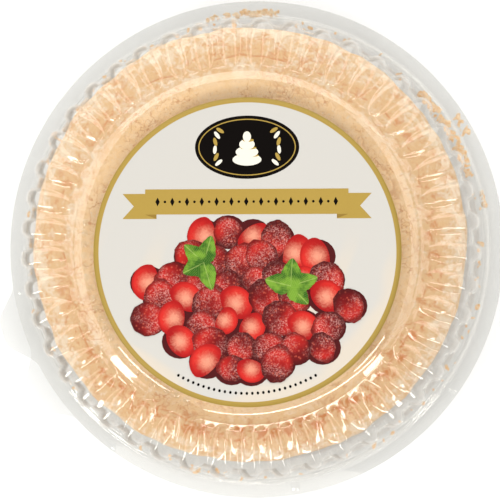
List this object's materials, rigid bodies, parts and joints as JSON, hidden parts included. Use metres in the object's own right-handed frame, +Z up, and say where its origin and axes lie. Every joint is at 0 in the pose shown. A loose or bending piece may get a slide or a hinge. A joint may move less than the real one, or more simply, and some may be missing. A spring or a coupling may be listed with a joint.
{
  "type": "packed pavlova",
  "caption": "Round baked meringue base in a shut clear pack: shallow tray, press-on fluted dome lid with flange and pull tabs, and a round paper label on top.",
  "frame": {"origin": "centre of the tray's underside", "axes": "+Z up out of the lid's flat panel, +Y away from the side nearest the reader, with both pull tabs towards -X and -Y"},
  "size_m": [0.2964, 0.29, 0.0586],
  "materials": {
    "clear_tray": "clear thermoformed sheet, glossy",
    "clear_lid": "clear thermoformed sheet, glossy",
    "meringue_crust": "dry baked meringue crust, matt, with browned cracks",
    "printed_label": "printed coated paper, satin"
  },
  "bodies": {
    "root": {"tray": "clear_tray", "lid": "clear_lid", "meringue": "meringue_crust", "label": "printed_label"}
  },
  "joints": []
}
